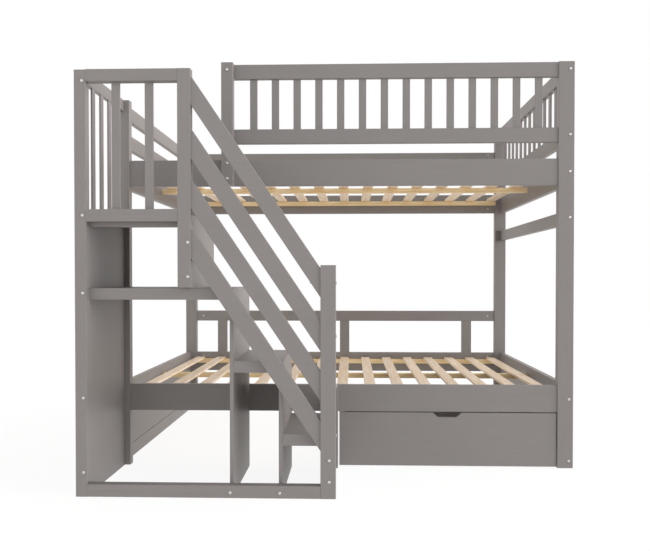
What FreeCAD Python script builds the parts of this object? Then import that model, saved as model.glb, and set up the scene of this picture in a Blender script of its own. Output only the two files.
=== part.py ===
"""Bunk bed with storage stairs and a drawer on wheels, as a parametric document.

Frame: +Z up, +X to the right of someone who faces the stairs, +Y towards the back.
The origin lies on the floor, under the middle of the whole footprint. Sizes are in millimetres.
"""
import FreeCAD, Part
import os
import re

import Sketcher

DRIVING_SIZES = {
    # bed
    "bed_length": 2022, "bed_width": 1460,
    "post_width": 68, "post_depth": 40, "edge_radius": 2,
    "left_post_height": 1620, "right_post_height": 1774,
    "rail_thickness": 25, "lower_rail_height": 118, "upper_rail_height": 115,
    "side_rail_setback": 7.5, "end_rail_setback": 6.5,
    "lower_rail_lift": 243, "upper_rail_lift": 1239,
    "bottom_rail_height": 64, "end_panel_thickness": 16, "seam_gap": 2,
    "mid_rail_lift": 1067, "mid_rail_height": 60,
    "housing_inset": 7, "housing_depth": 12,
    # guards of the upper bunk
    "guard_board_height": 64, "guard_low_lift": 1425, "guard_top_drop": 0.5,
    "baluster_width": 33, "baluster_thickness": 9,
    "guard_post_offset": 483.5, "guard_post_width": 52, "guard_post_depth": 40,
    "front_baluster_count": 14, "front_baluster_start": 68.3, "front_baluster_end": 66.4,
    "right_baluster_count": 13,
    # guard behind the lower bunk
    "low_guard_lift": 560, "low_guard_height": 64,
    "stub_width": 60, "left_stub_inset": 134, "right_stub_inset": 144.5,
    # bases of both bunks
    "cleat_depth": 30, "cleat_height": 26, "lower_cleat_lift": 51, "upper_cleat_lift": 48,
    "slat_count": 15, "slat_width": 52, "slat_thickness": 12, "slat_end_gap": 38.6, "slat_gap": 1,
    "beam_width": 30, "beam_leg_width": 45,
    "screw_radius": 2, "screw_length": 30, "screw_inset": 8,
    # stairs
    "stair_depth": 485, "stair_offset": 4, "stair_length": 990,
    "frame_depth": 40, "left_stair_post_width": 44, "stair_post_height": 1619,
    "upper_post_offset": 396.5, "upper_post_width": 50, "newel_width": 58, "newel_height": 881,
    "stair_bottom_rail_height": 48, "landing_rail_lift": 1046, "landing_rail_height": 47,
    "stair_top_height": 1621, "stair_top_rail_height": 46, "side_rail_height": 50,
    "stair_baluster_width": 33, "stair_baluster_thickness": 8, "front_stair_baluster_count": 2,
    "side_baluster_count": 4, "side_baluster_pitch": 97, "side_baluster_start": 49.5,
    "panel_inset": 26, "panel_thickness": 18, "divider_thickness": 15,
    "step_rise": 279, "step_run": 188, "first_rise": 236, "step_thickness": 45,
    "landing_thickness": 16, "landing_batten_depth": 40, "landing_batten_height": 29,
    "last_divider_inset": 17.5, "lowest_step_trim": 1.5, "upper_divider_inset": 1.5, "upper_post_gap": 3,
    "slope_board_count": 4, "slope_board_width": 64, "top_slope_board_width": 61.5,
    "slope_board_pitch": 188.5, "top_slope_board_lift": 12.5, "slope_board_foot": 236,
    "rear_leg_depth": 40,
    # drawer
    "drawer_side_gap": 6, "drawer_post_gap": 3, "drawer_floor_gap": 4, "drawer_top_gap": 4,
    "drawer_front_thickness": 16, "drawer_depth": 640, "drawer_wall": 12,
    "drawer_box_inset": 15, "drawer_box_height": 140, "drawer_box_lift": 44,
    "drawer_bottom_thickness": 6, "drawer_bottom_lift": 4,
    "pull_top_width": 126, "pull_bottom_width": 84, "pull_depth": 21, "pull_radius": 7,
    "wheel_radius": 18, "wheel_width": 16, "wheel_floor_gap": 0.3, "wheel_inset": 60,
    "axle_radius": 3, "axle_clearance": 0.05, "axle_overhang": 1,
    "cheek_thickness": 3, "cheek_gap": 1, "cheek_length": 30, "cheek_drop": 8,
    # fasteners
    "bolt_radius": 3, "bolt_clearance": 0.3, "hole_overrun": 1, "head_radius": 6.5, "head_top_radius": 4.5,
    "head_height": 3, "nut_radius": 5, "nut_clearance": 0.3, "nut_length": 18, "nut_distance": 42,
    "bolt_beyond_nut": 8, "low_bolt_lift": 28, "high_bolt_lift": 95,
    "cross_bolt_lift": 16, "panel_bolt_bite": 40, "guard_bolt_bite": 20,
    "panel_bolt_low": 93, "panel_bolt_middle": 377, "panel_bolt_high": 775,
    "divider_bolt_low": 837, "divider_bolt_high": 967,
    "newel_bolt_low": 64, "newel_bolt_high": 145, "sill_bolt_height": 21,
    "side_rail_bolt_lift": 6, "landing_bolt_inset": 30, "landing_front_bolt_inset": 90,
    "slope_bolt_drop": 14,
}

# Places worked out from the driving sizes. Each may use the ones above it.
PLACES = {
    "bed_left": "-bed_length / 2",
    "bed_right": "bed_length / 2",
    "stair_front": "-(bed_width + stair_depth) / 2",
    "bed_front": "stair_front + stair_depth",
    "bed_back": "bed_front + bed_width",
    "between_posts": "bed_length - 2 * post_width",
    "between_ends": "bed_width - 2 * post_depth",
    "front_rail_y": "bed_front + side_rail_setback",
    "back_rail_y": "bed_back - side_rail_setback - rail_thickness",
    "left_rail_x": "bed_left + end_rail_setback",
    "right_rail_x": "bed_right - end_rail_setback - rail_thickness",
    "inner_left": "left_rail_x + rail_thickness",
    "bed_middle_y": "bed_front + bed_width / 2",
    "front_bolt_y": "front_rail_y + rail_thickness / 2",
    "back_bolt_y": "back_rail_y + rail_thickness / 2",
    "left_bolt_x": "left_rail_x + rail_thickness / 2",
    "right_bolt_x": "right_rail_x + rail_thickness / 2",
    "guard_top_height": "right_post_height - guard_top_drop",
    "guard_top_bottom": "guard_top_height - guard_board_height",
    "board_top_bottom": "left_post_height - guard_board_height",
    "guard_post_x": "bed_left + guard_post_offset",
    "guard_post_y": "front_rail_y - guard_post_depth",
    "guard_rail_length": "bed_right - post_width - guard_post_x",
    "front_baluster_pitch": "(guard_rail_length - guard_post_width - front_baluster_start"
                            " - front_baluster_end - baluster_width) / (front_baluster_count - 1)",
    "slat_pitch": "(right_rail_x - inner_left - 2 * slat_end_gap - slat_width) / (slat_count - 1)",
    "frame_back": "stair_front + frame_depth",
    "bay_depth": "stair_depth - frame_depth",
    "stair_left": "bed_left + stair_offset",
    "upper_post_x": "bed_left + upper_post_offset",
    "stair_right": "stair_left + stair_length",
    "newel_x": "stair_right - newel_width",
    "panel_x": "bed_left + panel_inset",
    "panel_inner": "panel_x + panel_thickness",
    "end_panel_x": "stair_right - last_divider_inset - divider_thickness",
    "divider_c_x": "end_panel_x - step_run + lowest_step_trim",
    "divider_b_x": "divider_c_x - step_run",
    "divider_a_x": "upper_post_x + upper_post_width - upper_divider_inset - panel_thickness",
    "step_a_top": "first_rise + 2 * step_rise",
    "step_b_top": "first_rise + step_rise",
    "landing_top": "first_rise + 3 * step_rise",
    "slope": "step_rise / step_run",
    "stretch": "sqrt(1 + (step_rise / step_run) ^ 2)",
    "leg_x": "end_panel_x",
    "leg_width": "stair_right - end_panel_x",
    "leg_y": "front_rail_y - rear_leg_depth",
    "drawer_left": "stair_right + drawer_side_gap",
    "drawer_right": "bed_right - post_width - drawer_post_gap",
    "drawer_width": "drawer_right - drawer_left",
    "drawer_top": "lower_rail_lift - drawer_top_gap",
    "drawer_box_y": "front_rail_y + drawer_front_thickness",
    "drawer_box_x": "drawer_left + drawer_box_inset",
    "drawer_box_width": "drawer_width - 2 * drawer_box_inset",
    "drawer_bottom_z": "drawer_box_lift + drawer_bottom_lift",
    "drawer_inner_x": "drawer_box_x + drawer_wall",
    "drawer_inner_width": "drawer_box_width - 2 * drawer_wall",
    "wheel_z": "wheel_radius + wheel_floor_gap",
    "housing_width": "wheel_width + 2 * cheek_gap + 2 * cheek_thickness",
    "bolt_hole": "bolt_radius + bolt_clearance",
}

doc = FreeCAD.newDocument("bunk_bed")
sheet = doc.addObject("Spreadsheet::Sheet", "Sizes")
for row, (alias, size) in enumerate(DRIVING_SIZES.items(), start=1):
    sheet.set(f"A{row}", alias)
    sheet.set(f"B{row}", str(size))
    sheet.setAlias(f"B{row}", alias)
doc.recompute()

NAME = re.compile(r"[a-z_]+[a-z_0-9]*")


def formula(words):
    """Turn words such as "bed_left + post_width" into an expression on the sheet's cells."""
    def spell(match):
        name = match.group()
        if name in PLACES:
            return f"({formula(PLACES[name])})"
        return f"Sizes.{name}" if name in DRIVING_SIZES else name
    return NAME.sub(spell, str(words))


def number(words):
    """The number that a size or an expression has now."""
    return float(sheet.evalExpression(formula(words)))


def bind(item, **expressions):
    """Bind properties of an object to expressions on the sheet."""
    for prop, words in expressions.items():
        item.setExpression(prop, formula(words))


def place(item, corner):
    """Bind an object's position to three expressions."""
    for axis, words in zip("xyz", corner):
        item.setExpression(f"Placement.Base.{axis}", formula(words))


def origin_plane(body, role):
    """One of a body's own origin planes."""
    return next(item for item in body.Origin.OriginFeatures if item.Role == role)


def outline(body, name, points, sizes):
    """A closed sketch of straight lines on a body's plane, with named distances.

    points maps to the start values; sizes lists (kind, point, point, words).
    """
    sketch = body.newObject("Sketcher::SketchObject", f"{body.Name}_{name}")
    sketch.AttachmentSupport = [(origin_plane(body, "XY_Plane" if name == "plan" else "XZ_Plane"), "")]
    sketch.MapMode = "FlatFace"
    corners = [FreeCAD.Vector(x, y, 0) for x, y in points]
    total = len(corners)
    for index, start in enumerate(corners):
        sketch.addGeometry(Part.LineSegment(start, corners[(index + 1) % total]), False)
    for index in range(total):
        sketch.addConstraint(Sketcher.Constraint("Coincident", index, 2, (index + 1) % total, 1))
    sketch.addConstraint(Sketcher.Constraint("Coincident", 0, 1, -1, 1))
    for index, start in enumerate(corners):
        finish = corners[(index + 1) % total]
        if start.y == finish.y:
            sketch.addConstraint(Sketcher.Constraint("Horizontal", index))
        elif start.x == finish.x:
            sketch.addConstraint(Sketcher.Constraint("Vertical", index))
    for kind, first, second, words in sizes:
        given = corners[second].x - corners[first].x if kind == "DistanceX" else (
            corners[second].y - corners[first].y)
        made = sketch.addConstraint(Sketcher.Constraint(kind, first, 1, second, 1, given))
        sketch.setExpression(f"Constraints[{made}]", formula(words))
    return sketch


DIRECTIONS = {"x": FreeCAD.Vector(1, 0, 0), "y": FreeCAD.Vector(0, 1, 0), "z": FreeCAD.Vector(0, 0, 1),
              "slope": FreeCAD.Vector(number("step_run"), 0, -number("step_rise")).normalize()}
ROUNDING = []
DRILLING = {}
NODES = {}


def finished(label, item):
    """Note that an object is the node of that name."""
    NODES[label] = item
    return item


def bar(label, corner, size, grain, node=True):
    """A planed board or post: a rectangle padded upwards, its four long edges rounded."""
    body = doc.addObject("PartDesign::Body", f"{label}_body")
    long, wide = number(size[0]), number(size[1])
    plan = outline(body, "plan", [(0, 0), (long, 0), (long, wide), (0, wide)],
                   [("DistanceX", 0, 1, size[0]), ("DistanceY", 1, 2, size[1])])
    pad = body.newObject("PartDesign::Pad", f"{label}_pad")
    pad.Profile = plan
    bind(pad, Length=size[2])
    place(body, corner)
    ROUNDING.append((body, pad, grain))
    return finished(label, body) if node else body


def copies(label, corners, size, grain):
    """Boards of one size: a body at the first corner and linked copies at the others."""
    first = bar(f"{label}_0", corners[0], size, grain, node=False)
    pieces = [first]
    for index, corner in enumerate(corners[1:], start=1):
        twin = doc.addObject("App::Link", f"{label}_{index}")
        twin.LinkedObject = first
        place(twin, corner)
        pieces.append(twin)
    return pieces


def block(name, corner, size):
    """A plain rectangular piece."""
    box = doc.addObject("Part::Box", name)
    bind(box, Length=size[0], Width=size[1], Height=size[2])
    place(box, corner)
    return box


def rod(name, start, direction, radius, length):
    """A cylinder that starts at a point and runs along +x, -x, +y, -y, +z or -z."""
    turn = {"+x": (FreeCAD.Vector(0, 1, 0), 90), "-x": (FreeCAD.Vector(0, 1, 0), -90),
            "+y": (FreeCAD.Vector(1, 0, 0), -90), "-y": (FreeCAD.Vector(1, 0, 0), 90),
            "+z": (FreeCAD.Vector(0, 0, 1), 0), "-z": (FreeCAD.Vector(1, 0, 0), 180)}
    cylinder = doc.addObject("Part::Cylinder", name)
    cylinder.Placement.Rotation = FreeCAD.Rotation(*turn[direction])
    bind(cylinder, Radius=radius, Height=length)
    place(cylinder, start)
    return cylinder


def group(label, pieces, node=True):
    """Several separate solids of one kind in one node."""
    compound = doc.addObject("Part::Compound", f"{label}_group")
    compound.Links = pieces
    return finished(label, compound) if node else compound


def drill(labels, tool):
    """Note that a tool cuts a hole in each of the named nodes."""
    for label in labels:
        DRILLING.setdefault(label, []).append(tool)


BOLTS = []
NUTS = []


def bolt(seat, direction, depth, labels):
    """A domed bolt whose head sits at seat, in clearance holes through the named nodes."""
    name = f"bolt_{len(BOLTS) + 1}"
    outward = ("-" if direction[0] == "+" else "+") + direction[1]
    shank = rod(f"{name}_shank", seat, direction, "bolt_radius", depth)
    head = doc.addObject("Part::Cone", f"{name}_head")
    head.Placement.Rotation = rod_turn(outward)
    bind(head, Radius1="head_radius", Radius2="head_top_radius", Height="head_height")
    place(head, seat)
    whole = doc.addObject("Part::Fuse", name)
    whole.Base = head
    whole.Tool = shank
    BOLTS.append(whole)
    hole = rod(f"{name}_hole", seat, direction, "bolt_hole", f"{depth} + hole_overrun")
    drill(labels, hole)
    return hole


def rod_turn(direction):
    """The rotation that lays a cone or cylinder along a signed axis."""
    turn = {"+x": (FreeCAD.Vector(0, 1, 0), 90), "-x": (FreeCAD.Vector(0, 1, 0), -90),
            "+y": (FreeCAD.Vector(1, 0, 0), -90), "-y": (FreeCAD.Vector(1, 0, 0), 90)}
    return FreeCAD.Rotation(*turn[direction])


def barrel_nut(centre_face, direction, hole, label):
    """A cross nut let into a rail from its inner face, with the bolt's hole through it."""
    name = f"nut_{len(NUTS) + 1}"
    blank = rod(f"{name}_blank", centre_face, direction, "nut_radius", "nut_length")
    nut = doc.addObject("Part::Cut", name)
    nut.Base = blank
    nut.Tool = hole
    NUTS.append(nut)
    drill([label], rod(f"{name}_hole", centre_face, direction, "nut_radius + nut_clearance", "nut_length"))


# ---- corner posts ----
POSTS = {"post_front_left": ("bed_left", "bed_front", "left_post_height"),
         "post_back_left": ("bed_left", "bed_back - post_depth", "left_post_height"),
         "post_front_right": ("bed_right - post_width", "bed_front", "right_post_height"),
         "post_back_right": ("bed_right - post_width", "bed_back - post_depth", "right_post_height")}
for label, (x, y, height) in POSTS.items():
    bar(label, (x, y, "0"), ("post_width", "post_depth", height), "z")

# A shallow housing beside the middle rail, in the inner face of the back right post.
drill(["post_back_right"], block("housing", (
    "bed_right - post_width + housing_inset", "bed_back - post_depth", "mid_rail_lift"), (
    "right_rail_x - bed_right + post_width - housing_inset", "housing_depth", "mid_rail_height")))

# ---- side rails, with two bolts at each end ----
for side, y in (("front", "front_rail_y"), ("back", "back_rail_y")):
    for level in ("lower", "upper"):
        bar(f"{level}_side_rail_{side}", ("bed_left + post_width", y, f"{level}_rail_lift"),
            ("between_posts", "rail_thickness", f"{level}_rail_height"), "x")
bar("low_guard_rail", ("bed_left + post_width", "back_rail_y", "low_guard_lift"),
    ("between_posts", "rail_thickness", "low_guard_height"), "x")
back_boards = [
    bar(f"back_guard_board_{index}", ("bed_left + post_width", "back_rail_y", z),
        ("between_posts", "rail_thickness", "guard_board_height"), "x", node=False)
    for index, z in enumerate(("guard_low_lift", "board_top_bottom"))]
group("back_guard_boards", back_boards)


def side_bolts(side, y, rail, heights):
    """Bolts along X through both posts of one side into the ends of a rail, with cross nuts."""
    inner = "rail_thickness / 2" if side == "front" else "-rail_thickness / 2"
    nut_way = "-y" if side == "front" else "+y"
    for end, seat, way, nut_x in (
            ("left", "bed_left", "+x", "bed_left + post_width + nut_distance"),
            ("right", "bed_right", "-x", "bed_right - post_width - nut_distance")):
        for z in heights:
            hole = bolt((seat, y, z), way, "post_width + nut_distance + bolt_beyond_nut",
                        [f"post_{side}_{end}", rail])
            barrel_nut((nut_x, f"{y} + {inner}", z), nut_way, hole, rail)


for level in ("lower", "upper"):
    lifts = (f"{level}_rail_lift + low_bolt_lift", f"{level}_rail_lift + high_bolt_lift")
    side_bolts("front", "front_bolt_y", f"{level}_side_rail_front", lifts)
    side_bolts("back", "back_bolt_y", f"{level}_side_rail_back", lifts)
side_bolts("back", "back_bolt_y", "low_guard_rail", ("low_guard_lift + low_guard_height / 2",))
side_bolts("back", "back_bolt_y", "back_guard_boards",
           ("guard_low_lift + guard_board_height / 2 + cross_bolt_lift",
            "board_top_bottom + guard_board_height / 2 + cross_bolt_lift"))

# ---- end frames ----
END_X = {"left": "left_rail_x", "right": "right_rail_x"}
end_size = ("rail_thickness", "between_ends")
end_y = "bed_front + post_depth"
for level in ("lower", "upper"):
    group(f"{level}_end_rails", [
        bar(f"{level}_end_rail_{side}", (x, end_y, f"{level}_rail_lift"),
            (*end_size, f"{level}_rail_height"), "y", node=False)
        for side, x in END_X.items()])
group("end_bottom_rails", [
    bar(f"bottom_rail_{side}", (x, end_y, "0"), (*end_size, "bottom_rail_height"), "y", node=False)
    for side, x in END_X.items()])
group("end_panels", [
    block(f"end_panel_{side}", (x, end_y, "bottom_rail_height + seam_gap"),
          ("end_panel_thickness", "between_ends", "lower_rail_lift - bottom_rail_height - seam_gap"))
    for side, x in (("left", "inner_left - end_panel_thickness"), ("right", "right_rail_x"))])
bar("mid_rail_right", ("right_rail_x", end_y, "mid_rail_lift"), (*end_size, "mid_rail_height"), "y")
group("left_guard_boards", [
    bar(f"left_board_{index}", ("left_rail_x", end_y, z), (*end_size, "guard_board_height"), "y", node=False)
    for index, z in enumerate(("guard_low_lift", "board_top_bottom"))])
group("right_guard_rails", [
    bar(f"right_guard_rail_{index}", ("right_rail_x", end_y, z), (*end_size, "guard_board_height"), "y",
        node=False)
    for index, z in enumerate(("guard_low_lift", "guard_top_bottom"))])


def end_bolts(side, x, rail, z):
    """Bolts along Y through both posts of one end into the ends of a rail, with cross nuts."""
    face, way = ("rail_thickness / 2", "-x") if side == "left" else ("-rail_thickness / 2", "+x")
    for end, seat, direction, nut_y in (
            ("front", "bed_front", "+y", "bed_front + post_depth + nut_distance"),
            ("back", "bed_back", "-y", "bed_back - post_depth - nut_distance")):
        hole = bolt((x, seat, z), direction, "post_depth + nut_distance + bolt_beyond_nut",
                    [f"post_{end}_{side}", rail])
        barrel_nut((f"{x} + {face}", nut_y, z), way, hole, rail)


for side, x in (("left", "left_bolt_x"), ("right", "right_bolt_x")):
    end_bolts(side, x, "end_bottom_rails", "bottom_rail_height / 2")
    end_bolts(side, x, "lower_end_rails", "lower_rail_lift + lower_rail_height / 2")
    end_bolts(side, x, "upper_end_rails", "upper_rail_lift + upper_rail_height / 2")
end_bolts("right", "right_bolt_x", "mid_rail_right", "mid_rail_lift + mid_rail_height / 2")
for z in ("guard_low_lift", "guard_top_bottom"):
    end_bolts("right", "right_bolt_x", "right_guard_rails", f"{z} + guard_board_height / 2")
for z in ("guard_low_lift", "board_top_bottom"):
    end_bolts("left", "left_bolt_x", "left_guard_boards", f"{z} + guard_board_height / 2")

# ---- front guard of the upper bunk ----
bar("front_guard_post", ("guard_post_x", "guard_post_y", "upper_rail_lift"),
    ("guard_post_width", "guard_post_depth", "guard_top_height - upper_rail_lift"), "z")
group("front_guard_rails", [
    bar(f"front_guard_rail_{index}", ("guard_post_x", "front_rail_y", z),
        ("guard_rail_length", "rail_thickness", "guard_board_height"), "x", node=False)
    for index, z in enumerate(("guard_low_lift", "guard_top_bottom"))])
for z, rail in (("upper_rail_lift + low_bolt_lift", "upper_side_rail_front"),
                ("upper_rail_lift + high_bolt_lift", "upper_side_rail_front"),
                ("guard_low_lift + guard_board_height / 2", "front_guard_rails"),
                ("guard_top_bottom + guard_board_height / 2", "front_guard_rails")):
    bolt(("guard_post_x + guard_post_width / 2", "guard_post_y", z), "+y",
         "guard_post_depth + guard_bolt_bite", ["front_guard_post", rail])

baluster_z = "guard_low_lift + guard_board_height"
baluster_height = "guard_top_bottom - guard_low_lift - guard_board_height"
front_balusters = copies("front_baluster", [
    (f"guard_post_x + guard_post_width + front_baluster_start + {index} * front_baluster_pitch",
     "front_bolt_y - baluster_thickness / 2", baluster_z)
    for index in range(int(number("front_baluster_count")))],
    ("baluster_width", "baluster_thickness", baluster_height), "z")
right_gap = "((between_ends - right_baluster_count * baluster_width) / (right_baluster_count + 1))"
right_balusters = copies("right_baluster", [
    ("right_bolt_x - baluster_thickness / 2",
     f"bed_front + post_depth + {right_gap} + {index} * (baluster_width + {right_gap})", baluster_z)
    for index in range(int(number("right_baluster_count")))],
    ("baluster_thickness", "baluster_width", baluster_height), "z")
group("guard_balusters", front_balusters + right_balusters)

# ---- low guard behind the lower bunk ----
stub_z = "lower_rail_lift + lower_rail_height"
group("low_guard_stubs", [
    bar(f"stub_{index}", (x, "back_rail_y", stub_z),
        ("stub_width", "rail_thickness", f"low_guard_lift - ({stub_z})"), "z", node=False)
    for index, x in enumerate(("bed_left + post_width + left_stub_inset", "-stub_width / 2",
                               "bed_right - post_width - right_stub_inset - stub_width"))])

# ---- slatted bases ----
cleat_places = []
beam_places = []
screws = []
beam_y = "bed_middle_y - beam_width / 2"
for level in ("lower", "upper"):
    base_z = f"{level}_rail_lift + {level}_cleat_lift"
    slat_z = f"{base_z} + cleat_height"
    cleat_places += [("bed_left + post_width", y, base_z)
                     for y in ("front_rail_y + rail_thickness", "back_rail_y - cleat_depth")]
    beam_places.append(("inner_left", beam_y, base_z))
    middles = [f"({index} - (slat_count - 1) / 2) * slat_pitch" for index in range(int(number("slat_count")))]
    group(f"{level}_slats", copies(f"{level}_slat", [
        (f"{middle} - slat_width / 2", "bed_front + post_depth + slat_gap", slat_z) for middle in middles],
        ("slat_width", "between_ends - 2 * slat_gap", "slat_thickness"), "y"))
    for index, middle in enumerate(middles):
        for end, y in enumerate(("bed_front + post_depth + slat_gap + screw_inset",
                                 "bed_back - post_depth - slat_gap - screw_inset")):
            top = (middle, y, f"{slat_z} + slat_thickness")
            screws.append(rod(f"{level}_screw_{index}_{end}", top, "-z", "screw_radius", "screw_length"))
group("slat_cleats", copies("cleat", cleat_places, ("between_posts", "cleat_depth", "cleat_height"), "x"))
group("middle_beams", copies("beam", beam_places, (
    "right_rail_x - (inner_left)", "beam_width", "cleat_height"), "x"))
group("slat_screws", screws)
for level in ("lower", "upper"):
    beam_z = f"{level}_rail_lift + {level}_cleat_lift + cleat_height / 2"
    for seat, way in (("left_rail_x", "+x"), ("right_rail_x + rail_thickness", "-x")):
        bolt((seat, "bed_middle_y", beam_z), way, "rail_thickness + panel_bolt_bite",
             [f"{level}_end_rails", "middle_beams"])
bar("beam_leg", ("-beam_leg_width / 2", "bed_middle_y - beam_leg_width / 2", "0"),
    ("beam_leg_width", "beam_leg_width", "lower_rail_lift + lower_cleat_lift"), "z")

# ---- stairs: front frame ----
bar("stair_post_left", ("stair_left", "stair_front", "0"),
    ("left_stair_post_width", "frame_depth", "stair_post_height"), "z")
bar("stair_post_upper", ("upper_post_x", "stair_front", "step_a_top + upper_post_gap"),
    ("upper_post_width", "frame_depth", "stair_top_height - step_a_top - upper_post_gap"), "z")
bar("newel_post", ("newel_x", "stair_front", "0"), ("newel_width", "frame_depth", "newel_height"), "z")
frame_rail_x = "stair_left + left_stair_post_width"
upper_span = "upper_post_x - stair_left - left_stair_post_width"
bar("stair_top_rail", (frame_rail_x, "stair_front", "stair_top_height - stair_top_rail_height"),
    (upper_span, "frame_depth", "stair_top_rail_height"), "x")
bar("stair_landing_rail", (frame_rail_x, "stair_front", "landing_rail_lift"),
    (upper_span, "frame_depth", "landing_rail_height"), "x")
bar("stair_bottom_rail", (frame_rail_x, "stair_front", "0"),
    ("newel_x - stair_left - left_stair_post_width", "frame_depth", "stair_bottom_rail_height"), "x")
stair_gap = (f"(({upper_span} - front_stair_baluster_count * stair_baluster_width)"
             " / (front_stair_baluster_count + 1))")
stair_baluster_z = "landing_rail_lift + landing_rail_height"
group("stair_front_balusters", copies("stair_baluster", [
    (f"{frame_rail_x} + {stair_gap} + {index} * (stair_baluster_width + {stair_gap})",
     "stair_front + (frame_depth - stair_baluster_thickness) / 2", stair_baluster_z)
    for index in range(int(number("front_stair_baluster_count")))],
    ("stair_baluster_width", "stair_baluster_thickness",
     f"stair_top_height - stair_top_rail_height - ({stair_baluster_z})"), "z"))


slope_span = "(newel_x - upper_post_x - upper_post_width)"
slope_count = int(number("slope_board_count"))


def slope_foot(index):
    """The height of a sloping board's middle line at the newel; the top board stands a little higher."""
    extra = " + top_slope_board_lift" if index == slope_count - 1 else ""
    return f"slope_board_foot + {index} * slope_board_pitch{extra}"


def slope_board(index):
    """One sloping guard board, cut upright where it meets the upper post and the newel."""
    body = doc.addObject("PartDesign::Body", f"slope_board_{index}_body")
    width = "top_slope_board_width" if index == slope_count - 1 else "slope_board_width"
    drop = f"{slope_span} * slope"
    rise = f"{width} * stretch"
    far, down, up = number(slope_span), number(drop), number(rise)
    side = outline(body, "side", [(0, 0), (far, -down), (far, up - down), (0, up)],
                   [("DistanceX", 0, 1, slope_span), ("DistanceY", 1, 0, drop),
                    ("DistanceY", 1, 2, rise), ("DistanceY", 0, 3, rise)])
    pad = body.newObject("PartDesign::Pad", f"slope_board_{index}_pad")
    pad.Profile = side
    bind(pad, Length="rail_thickness")
    ROUNDING.append((body, pad, "slope"))
    place(body, ("upper_post_x + upper_post_width",
                 "stair_front + (frame_depth + rail_thickness) / 2",
                 f"{slope_foot(index)} + {drop} - {rise} / 2"))
    return body


group("slope_guard_boards", [slope_board(index) for index in range(slope_count)])

# ---- stairs: side, landing, dividers and steps ----
bar("stair_side_panel", ("panel_x", "frame_back", "0"),
    ("panel_thickness", "bay_depth", "landing_rail_lift"), "z")
group("stair_side_rails", [
    bar(f"stair_side_rail_{index}", ("panel_x", "frame_back", z),
        ("panel_thickness", "bay_depth", height), "y", node=False)
    for index, (z, height) in enumerate((
        ("landing_rail_lift", "landing_rail_height"),
        ("stair_top_height - side_rail_height", "side_rail_height")))])
group("stair_side_balusters", copies("side_baluster", [
    ("panel_inner - stair_baluster_thickness",
     f"frame_back + side_baluster_start + {index} * side_baluster_pitch", stair_baluster_z)
    for index in range(int(number("side_baluster_count")))],
    ("stair_baluster_thickness", "stair_baluster_width",
     f"stair_top_height - side_rail_height - ({stair_baluster_z})"), "z"))
bar("landing_board", ("panel_inner", "frame_back", "landing_top - landing_thickness"),
    ("divider_a_x - (panel_inner)", "bay_depth", "landing_thickness"), "x")
batten_z = "landing_top - landing_thickness - landing_batten_height"
bar("landing_batten", ("panel_inner", "frame_back", batten_z),
    ("divider_a_x - (panel_inner)", "landing_batten_depth", "landing_batten_height"), "x")
bar("divider_upper", ("divider_a_x", "frame_back", "step_a_top"),
    ("panel_thickness", "bay_depth", "landing_top - (step_a_top)"), "z")
bar("divider_middle", ("divider_b_x", "frame_back", "0"),
    ("divider_thickness", "bay_depth", "step_a_top"), "z")
bar("divider_lower", ("divider_c_x", "frame_back", "0"),
    ("divider_thickness", "bay_depth", "step_b_top"), "z")
bar("stair_end_panel", ("end_panel_x", "frame_back", "0"),
    ("divider_thickness", "leg_y - (frame_back)", "first_rise"), "z")
bar("stair_rear_leg", ("leg_x", "leg_y", "0"),
    ("leg_width", "rear_leg_depth", "lower_rail_lift + lower_rail_height"), "z")
for label, left, right, top in (
        ("step_upper", "panel_inner", "divider_b_x", "step_a_top"),
        ("step_middle", "divider_b_x + divider_thickness", "divider_c_x", "step_b_top"),
        ("step_lower", "divider_c_x + divider_thickness", "end_panel_x", "first_rise")):
    bar(label, (left, "frame_back", f"{top} - step_thickness"),
        (f"{right} - ({left})", "bay_depth", "step_thickness"), "x")

STAIR_BOLTS = [
    ("stair_post_left", "stair_side_panel", "panel_x + panel_thickness / 2", "panel_bolt_low"),
    ("stair_post_left", "stair_side_panel", "panel_x + panel_thickness / 2", "panel_bolt_middle"),
    ("stair_post_left", "stair_side_panel", "panel_x + panel_thickness / 2", "panel_bolt_high"),
    ("stair_post_left", "stair_side_rails", "panel_x + panel_thickness / 2",
     "landing_rail_lift + landing_rail_height / 2"),
    ("stair_post_left", "stair_side_rails", "panel_x + panel_thickness / 2",
     "stair_top_height - side_rail_height + side_rail_bolt_lift"),
    ("stair_post_upper", "divider_upper", "divider_a_x + panel_thickness / 2", "divider_bolt_low"),
    ("stair_post_upper", "divider_upper", "divider_a_x + panel_thickness / 2", "divider_bolt_high"),
    ("newel_post", "stair_end_panel", "end_panel_x + divider_thickness / 2", "newel_bolt_low"),
    ("newel_post", "stair_end_panel", "end_panel_x + divider_thickness / 2", "newel_bolt_high"),
    ("stair_bottom_rail", "divider_middle", "divider_b_x + divider_thickness / 2", "sill_bolt_height"),
    ("stair_bottom_rail", "divider_lower", "divider_c_x + divider_thickness / 2", "sill_bolt_height"),
]
for outer, inner, x, z in STAIR_BOLTS:
    bolt((x, "stair_front", z), "+y", "frame_depth + panel_bolt_bite", [outer, inner])
bolt(("stair_right - head_radius - divider_thickness / 2", "leg_y", "lower_rail_lift + lower_rail_height / 2"),
     "+y", "rear_leg_depth + guard_bolt_bite", ["stair_rear_leg", "lower_side_rail_front"])
landing_bolt_z = "landing_top - landing_thickness / 2"
landing_back_y = "bed_front - landing_bolt_inset"
bolt(("divider_a_x + panel_thickness", landing_back_y, landing_bolt_z), "-x",
     "panel_thickness + panel_bolt_bite", ["divider_upper", "landing_board"])
for y in ("frame_back + landing_front_bolt_inset", landing_back_y):
    bolt(("panel_x", y, landing_bolt_z), "+x", "panel_thickness + panel_bolt_bite",
         ["stair_side_rails", "landing_board"])
bolt(("divider_a_x + panel_thickness", "frame_back + landing_batten_depth / 2",
      f"{batten_z} + landing_batten_height / 2"), "-x",
     "panel_thickness + panel_bolt_bite", ["divider_upper", "landing_batten"])

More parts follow.
